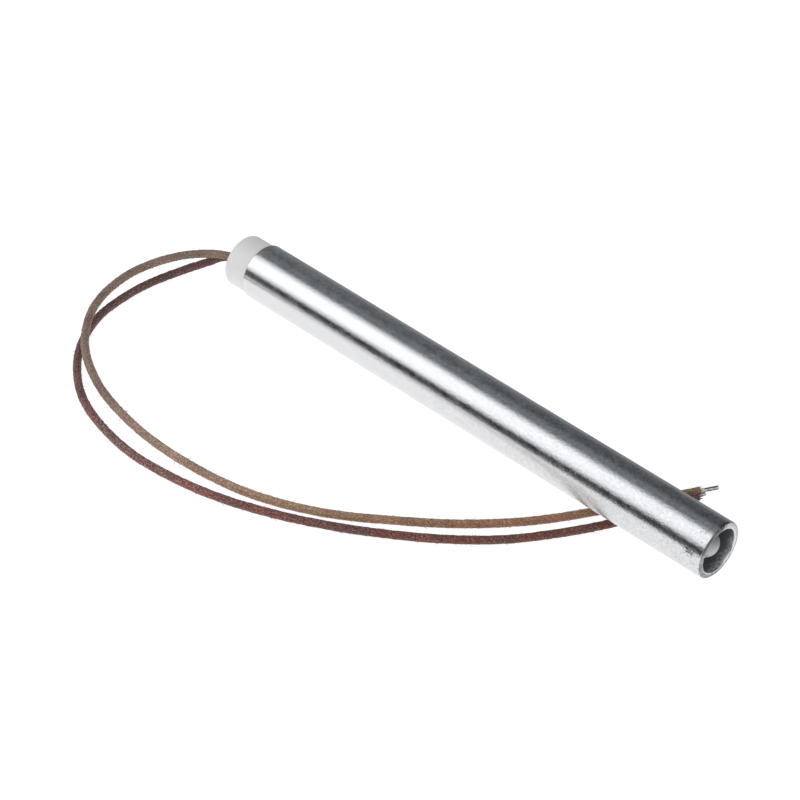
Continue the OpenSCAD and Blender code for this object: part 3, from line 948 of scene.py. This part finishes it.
class HEATER_OT_sheath(bpy.types.Operator):
    """Makes the ground steel tube"""

    bl_idname = "heater.sheath"
    bl_label = "Sheath"

    def execute(self, context):
        sizes, colours = settings_of(context)
        lead_end_round, facing_end = 0.2 * MM, 0.65
        bm = turn_profile(
            [(0, BORE_R), (0, SHEATH_R), (SHEATH_LEN, SHEATH_R), (SHEATH_LEN, BORE_R)], 192, closed=True
        )
        round_ring(bm, SHEATH_LEN, SHEATH_R, sizes.mouth_round, 6)
        round_ring(bm, SHEATH_LEN, BORE_R, sizes.bore_round, 4)
        round_ring(bm, 0, SHEATH_R, lead_end_round, 2)
        cut_rings(bm, (lead_end_round + ROUND_MARGIN, SHEATH_LEN - sizes.mouth_round - ROUND_MARGIN))
        finishes = [ground_steel(colours), sawn_rim(), recess_wall()]
        ends, bore = 1, 2
        for face in bm.faces:
            middle = face.calc_center_median()
            if math.hypot(middle.y, middle.z) < BORE_R + NEAR:
                face.material_index = bore
            elif abs(face.normal.x) > facing_end:
                face.material_index = ends
        made = finish_mesh(bm, "ground_sheath", finishes)
        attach(made, BODY)
        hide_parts("sheath")
        return {"FINISHED"}


class HEATER_OT_lead_cap(bpy.types.Operator):
    """Makes the ceramic cap with its two lead holes"""

    bl_idname = "heater.lead_cap"
    bl_label = "Lead cap"

    def execute(self, context):
        sizes, colours = settings_of(context)
        face_x, inner_x = CAP_FACE_X, CAP_INNER_X
        cap_r = CAP_BOX[1].z
        bm = turn_profile(
            [(face_x, 0), (face_x, cap_r), (0, cap_r), (0, PLUG_R), (inner_x, PLUG_R), (inner_x, 0)], 128
        )
        round_ring(bm, face_x, cap_r, sizes.cap_round, 8)
        cut_rings(bm, (face_x + sizes.cap_round + ROUND_MARGIN,))
        made = finish_mesh(bm, "ceramic_cap", [fired_ceramic("steatite_cap", colours.cap, 0.5, 0.25 * MM)])
        clear, flare, past = 0.1 * MM, 0.25 * MM, 1 * MM
        hole_r = sizes.lead_d / 2 + clear
        for side in (1, -1):
            cutter = turn_profile(
                [(face_x - 2 * flare, 0), (face_x - 2 * flare, hole_r + 3 * flare), (face_x + flare, hole_r),
                 (inner_x + past, hole_r), (inner_x + past, 0)], 40
            )
            bmesh.ops.translate(cutter, verts=cutter.verts, vec=pin_point(0, side))
            self.cut(made, finish_mesh(cutter, "lead_hole", []))
        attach(made, BODY)
        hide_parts("lead_cap")
        return {"FINISHED"}

    def cut(self, piece, cutter):
        """Cuts one shape out of the piece and removes the cutter."""
        modifier = piece.modifiers.new("hole", "BOOLEAN")
        modifier.operation, modifier.solver, modifier.object = "DIFFERENCE", "EXACT", cutter
        bpy.context.view_layer.update()
        done = bpy.data.meshes.new_from_object(
            piece.evaluated_get(bpy.context.evaluated_depsgraph_get())
        )
        piece.modifiers.clear()
        piece.data = done
        bpy.data.objects.remove(cutter)


class HEATER_OT_open_end(bpy.types.Operator):
    """Makes the round nose and the ring at the floor of the recess"""

    bl_idname = "heater.open_end"
    bl_label = "Open end"

    def execute(self, context):
        colours = settings_of(context)[1]
        flange_x, tip_x = NOSE_BOX[0].x, NOSE_BOX[1].x
        flange_r = NOSE_BOX[1].z
        disc_x, floor_x = DISC_BOX[0].x, DISC_BOX[1].x
        bm = bmesh.new()
        tip = bm.verts.new((tip_x, 0, 0))
        dome = bmesh.ops.spin(
            bm, geom=[tip], cent=(tip_x - NOSE_R, 0, 0), axis=(0, -1, 0), angle=math.pi / 2, steps=20
        )["geom_last"]
        side = [g for g in dome if isinstance(g, bmesh.types.BMVert)][0]
        for x, r in ((disc_x, NOSE_R), (disc_x, flange_r), (flange_x, flange_r), (flange_x, 0)):
            corner = bm.verts.new((x, 0, r))
            bm.edges.new((side, corner))
            side = corner
        bmesh.ops.spin(
            bm, geom=[*bm.verts, *bm.edges], cent=(0, 0, 0), axis=(1, 0, 0), angle=2 * math.pi,
            steps=96, use_merge=True,
        )
        bmesh.ops.remove_doubles(bm, verts=bm.verts, dist=MERGE)
        bmesh.ops.recalc_face_normals(bm, faces=bm.faces)
        # Painted shade darkens the nose's upper back
        steatite = fired_ceramic("steatite_nose", colours.nose, 0.45, 0.25 * MM, upper_shade=0.75)
        nose = finish_mesh(bm, "round_nose", [steatite])
        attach(nose, BODY)
        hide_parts("nose_plug")

        clear, edge_round = 0.1 * MM, 0.2 * MM
        hole_r = NOSE_R + clear
        bm = turn_profile(
            [(disc_x, hole_r), (disc_x, PLUG_R), (floor_x, PLUG_R), (floor_x, hole_r)], 96, closed=True
        )
        round_ring(bm, floor_x, hole_r, edge_round, 3)
        ring = finish_mesh(bm, "recess_ring", [scaled_ring()])
        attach(ring, BODY)
        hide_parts("end_disc")
        return {"FINISHED"}


LEADS = (
    ("tan", TAN_ROUTE, 1),
    ("maroon", MAROON_ROUTE, -1),
)


class HEATER_OT_conductors(bpy.types.Operator):
    """Makes the twisted strands at both ends of each lead"""

    bl_idname = "heater.conductors"
    bl_label = "Conductors"

    def execute(self, context):
        sizes, colours = settings_of(context)
        metal = plain_metal("tinned_copper_strand", colours.wire, 0.2)
        wire_r, sides, spacing = sizes.conductor_d / 2, 42, 0.2 * MM
        # Outer strands, how far along they turn once, and the depth of their grooves, half filled by tin, as
        # a share of the radius
        outer_strands, lay, groove = 6, 10 * MM, 0.14
        tucked = 1 * MM
        for name, route, side in LEADS:
            bm = bmesh.new()
            end = on_table(route[-1])
            heading = lead_heading(route)
            bared = (end - heading * tucked, end + heading * getattr(sizes, name + "_bared_len"))
            inner = (pin_point(COVER_START_X, side), pin_point(WIRE_START_X, side))
            for start, stop in (inner, bared):
                line = even_line([start, stop], spacing)
                step = (stop - start).length / (len(line) - 1)

                def strands(i, k):
                    turn = outer_strands / 2 * (math.tau * k / sides - math.tau * i * step / lay)
                    return wire_r * (1 - groove + groove * math.sqrt(abs(math.cos(turn)))), 1.0, 0.5

                sweep_tube(bm, line, strands, sides)
            bmesh.ops.recalc_face_normals(bm, faces=bm.faces)
            made = finish_mesh(bm, name + "_strands", [metal], sharp=math.radians(60))
            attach(made, BODY)
            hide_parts(name + "_conductor")
        return {"FINISHED"}


class HEATER_OT_leads(bpy.types.Operator):
    """Makes the two braided leads"""

    bl_idname = "heater.leads"
    bl_label = "Leads"

    def execute(self, context):
        sizes, colours = settings_of(context)
        # Each braid's fourth colour is painted shade for the gaps between its yarns
        coverings = {
            "tan": braided_fibre(
                "tan_glass_braid", colours.tan, linear("#A98274"), linear("#CDBB9F"), linear("#65544A"),
                TAN_AGED,
            ),
            "maroon": braided_fibre(
                "maroon_glass_braid", colours.maroon, linear("#7C5C53"), linear("#C09C94"), linear("#2B1817"),
                MAROON_AGED,
            ),
        }
        white = braided_fibre(
            "white_glass_sleeve", linear("#F1EFEB"), linear("#E6E2DB"), linear("#FAF9F7"), linear("#C9C4BC")
        )
        sleeve = self.inner_sleeve(sizes, white)
        for name, route, side in LEADS:
            made, line = self.braid(sizes, name, route, side, coverings[name])
            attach(made, BODY)
            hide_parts(name + "_lead")
        return {"FINISHED"}

    def inner_sleeve(self, sizes, fibre):
        """The white sleeve that shows between the tan covering and its wire."""
        end, heading = on_table(TAN_ROUTE[-1]), lead_heading(TAN_ROUTE)
        tucked, spacing, sides = 1 * MM, 0.1 * MM, 24
        line = even_line([end - heading * tucked, end + heading * sizes.sleeve_len], spacing)
        draw = random.Random(sizes.seed)
        cut = [draw.uniform(0.9, 1.0) for _ in range(sides)]
        bm = bmesh.new()
        sweep_tube(bm, line, lambda i, k: (sizes.sleeve_d / 2 * cut[(i + k) % sides], 1.0, 0.5), sides)
        bmesh.ops.recalc_face_normals(bm, faces=bm.faces)
        made = finish_mesh(bm, "tan_inner_sleeve", [fibre], sharp=math.radians(75))
        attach(made, BODY)
        return made

    def braid(self, sizes, name, route, side, covering):
        """A tube whose skin rises and falls as the yarns of a braid do, with loose fibres."""
        draw = random.Random(sizes.seed + side)
        spacing, sides, proud = 0.15 * MM, 40, 0.02 * MM
        line = lead_line(route, side, spacing)
        step = line_length(line) / (len(line) - 1)
        # Yarns each way, how far along a yarn crosses the next, and the length and height of lumps in it
        count, pick, lump_len, lump_height = sizes.yarns, 0.8 * MM, 1 * MM, 0.1 * MM
        # The share of its height that a yarn keeps at the edges of the one it crosses, and the circle in the
        # noise, set apart for each lead, that its lumps are read on
        flat, circle, apart = 0.6, 1.5, 9
        tints = [[draw.random() for _ in range(count)] for _ in range(2)]
        outer = sizes.lead_d / 2 + proud

        def skin(i, k):
            a = count * k / sides + i * step / pick
            b = count * k / sides - i * step / pick
            rise_a, rise_b = math.sin(math.pi * (a % 1)), math.sin(math.pi * (b % 1))
            if (math.floor(a) + math.floor(b)) % 2:
                rise, tint = math.sqrt(rise_a) * (flat + (1 - flat) * rise_b), tints[0][math.floor(a) % count]
            else:
                rise, tint = math.sqrt(rise_b) * (flat + (1 - flat) * rise_a), tints[1][math.floor(b) % count]
            turn = math.tau * k / sides
            lump = noise.noise(
                (i * step / lump_len, circle * math.cos(turn), circle * math.sin(turn) + apart * side)
            )
            return outer - sizes.braid_depth * (1 - rise) + lump_height * lump, rise, tint

        bm = bmesh.new()
        end, heading = on_table(route[-1]), lead_heading(route)
        frayed_splay, stray_splay, past_cap = 0.3, 0.6, 0.08
        for _ in range(sizes.frayed_fibres):
            out_r, reach = sizes.lead_d / 2 * draw.uniform(0.7, 1.0), draw.uniform(0.2, 0.8) * MM
            self.fibre(bm, draw, end, heading, out_r, reach, frayed_splay)
        for _ in range(sizes.stray_fibres):
            i = draw.randrange(round(past_cap * len(line)), len(line) - 1)
            ahead, reach = Vector(line[i + 1] - line[i]).normalized(), draw.uniform(0.4, 0.9) * MM
            self.fibre(bm, draw, Vector(line[i]), ahead, sizes.lead_d / 2, reach, stray_splay)
        # The long tube comes last, because every operator walks through the whole bmesh
        sweep_tube(bm, line, skin, sides)
        bmesh.ops.recalc_face_normals(bm, faces=bm.faces)
        return finish_mesh(bm, name + "_braided_lead", [covering], sharp=math.radians(75)), line

    def fibre(self, bm, draw, place, ahead, out_r, reach, splay):
        """One loose fibre that starts in the covering and bends away from it, but not through the table."""
        across = ahead.orthogonal().normalized()
        turn = draw.uniform(0, math.tau)
        out = math.cos(turn) * across + math.sin(turn) * ahead.cross(across)
        radius, sides, spacing = 0.04 * MM, 5, 0.25 * MM
        clear, depth, back = 0.05 * MM, 0.1 * MM, 0.3 * MM
        floor_z = on_table((place.x / MM, 0, 0)).z - bpy.context.scene.heater_sizes.lead_d / 2 + clear
        start = place + out * (out_r - depth) - ahead * back
        middle = start + ahead * (back + 0.5 * reach) + out * (depth + 0.2 * splay * reach)
        tip = middle + ahead * 0.5 * reach + (out + across * draw.uniform(-0.5, 0.5)) * splay * reach
        points = [start, middle, tip]
        for point in points:
            point.z = max(point.z, floor_z)
        tint = draw.random()
        sweep_tube(bm, even_line(points, spacing), lambda i, k: (radius, 1.0, tint), sides)


class HEATER_OT_inner_parts(bpy.types.Operator):
    """Gives the parts sealed in the sheath their materials"""

    bl_idname = "heater.inner_parts"
    bl_label = "Inner parts"

    def execute(self, context):
        insulator = fired_ceramic("crushable_magnesia", linear("#E9E4D8"), 0.7, 0.3 * MM)
        finishes = {
            "cement_plug": fired_ceramic("sealing_cement", linear("#D3CCBE"), 0.85, 0.2 * MM),
            "lead_spacer": insulator,
            "end_spacer": insulator,
            "core": insulator,
            "oxide_fill": fired_ceramic("packed_magnesium_oxide", linear("#F0EEE8"), 0.9, 0.15 * MM),
            "heating_coil": plain_metal("nickel_chrome_wire", linear("#8C8780"), 0.35),
            "terminal_pin": plain_metal("nickel_pin", linear("#C2BEB4"), 0.25),
            "crimp": plain_metal("plated_brass_sleeve", linear("#C9B585"), 0.3),
        }
        for name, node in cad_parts.items():
            finish = next((f for start, f in finishes.items() if name.startswith(start)), None)
            if finish:
                node.data.materials.clear()
                node.data.materials.append(finish)
        return {"FINISHED"}


class HEATER_PT_panel(bpy.types.Panel):
    """Lists the heater's pieces, sizes and colours"""

    bl_idname = "HEATER_PT_panel"
    bl_label = "Cartridge heater"
    bl_space_type = "VIEW_3D"
    bl_region_type = "UI"
    bl_category = "Heater"

    def draw(self, context):
        column = self.layout.column(align=True)
        for operator in OPERATORS:
            column.operator(operator.bl_idname)
        for group in settings_of(context):
            column = self.layout.column(align=True)
            for name in group.__annotations__:
                column.prop(group, name)


OPERATORS = (
    HEATER_OT_stage,
    HEATER_OT_sheath,
    HEATER_OT_lead_cap,
    HEATER_OT_open_end,
    HEATER_OT_conductors,
    HEATER_OT_leads,
    HEATER_OT_inner_parts,
)
CLASSES = (HeaterSizes, HeaterColours, *OPERATORS, HEATER_PT_panel)


def register():
    for each in CLASSES:
        bpy.utils.register_class(each)
    bpy.types.Scene.heater_sizes = bpy.props.PointerProperty(type=HeaterSizes)
    bpy.types.Scene.heater_colours = bpy.props.PointerProperty(type=HeaterColours)


def unregister():
    del bpy.types.Scene.heater_colours
    del bpy.types.Scene.heater_sizes
    for each in reversed(CLASSES):
        bpy.utils.unregister_class(each)


def main():
    register()
    bpy.ops.heater.stage()
    bpy.ops.heater.sheath()
    bpy.ops.heater.lead_cap()
    bpy.ops.heater.open_end()
    bpy.ops.heater.conductors()
    bpy.ops.heater.leads()
    bpy.ops.heater.inner_parts()


if __name__ == "__main__":
    main()
